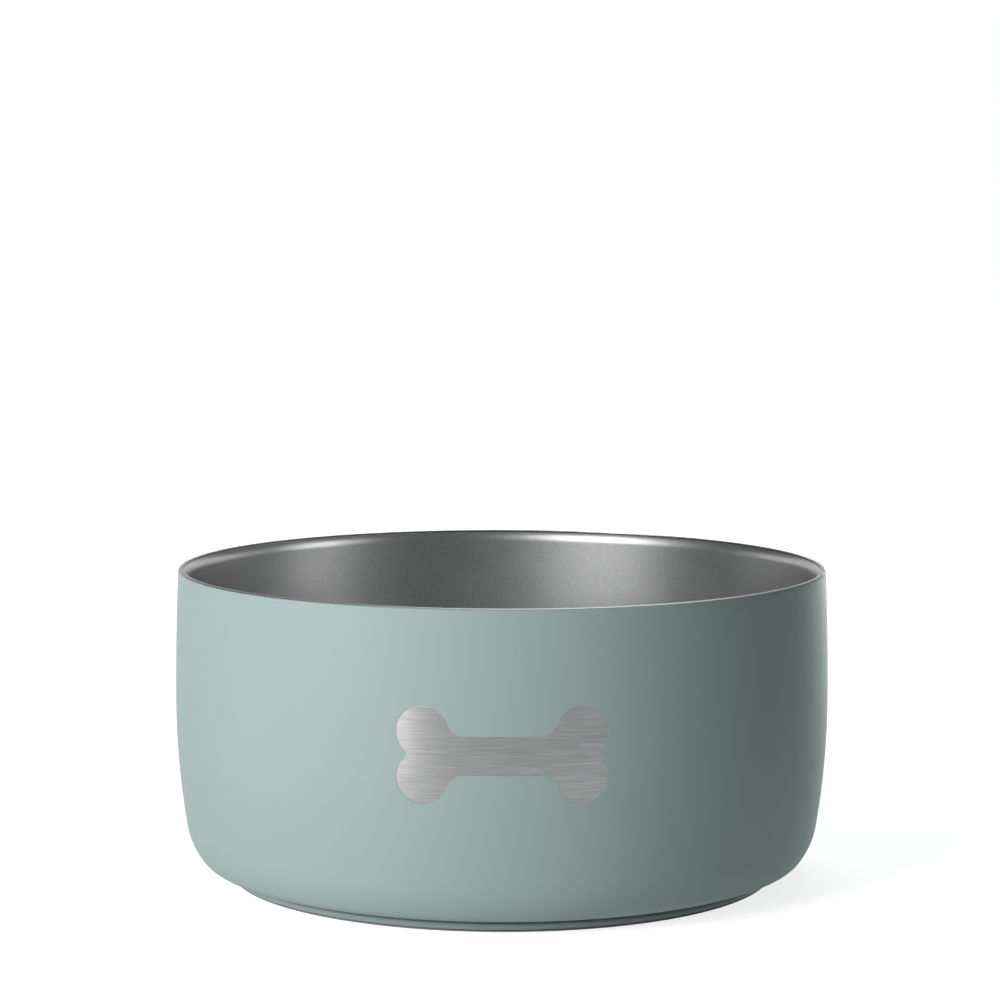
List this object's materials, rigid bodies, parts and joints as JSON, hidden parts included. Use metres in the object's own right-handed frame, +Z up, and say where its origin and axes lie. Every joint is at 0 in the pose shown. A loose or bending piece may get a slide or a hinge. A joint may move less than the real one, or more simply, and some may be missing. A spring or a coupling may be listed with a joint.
{
  "type": "pet bowl",
  "caption": "Round double-wall insulated pet bowl: barrel-shaped coated steel shell, bare satin steel liner under a turned-in rim, narrow necked foot and a non-slip rubber ring.",
  "frame": {"origin": "on the bowl's axis, on the surface that the rubber ring stands on", "axes": "+Z up along the bowl's axis; -Y is the front, where the picture is taken from; +X is to the right there"},
  "size_m": [0.19, 0.19, 0.09],
  "materials": {
    "coated_steel": "sage-green powder coat, fine satin texture",
    "satin_steel": "bead-blasted satin stainless steel",
    "base_steel": "circular-brushed stainless steel",
    "raw_steel": "mill finish",
    "copper_foil": "bright rolled copper foil",
    "solder_glass": "fused dark solder glass",
    "getter_powder": "pressed metal powder",
    "rubber": "matte dark grey"
  },
  "bodies": {
    "root": {"outer_shell": "coated_steel", "inner_bowl": "satin_steel", "radiation_foil": "copper_foil", "base_plate": "raw_steel", "glass_seal": "solder_glass", "getter_cup": "raw_steel", "getter_pellet": "getter_powder", "non_slip_ring": "rubber", "base_cover": "base_steel"}
  },
  "joints": []
}
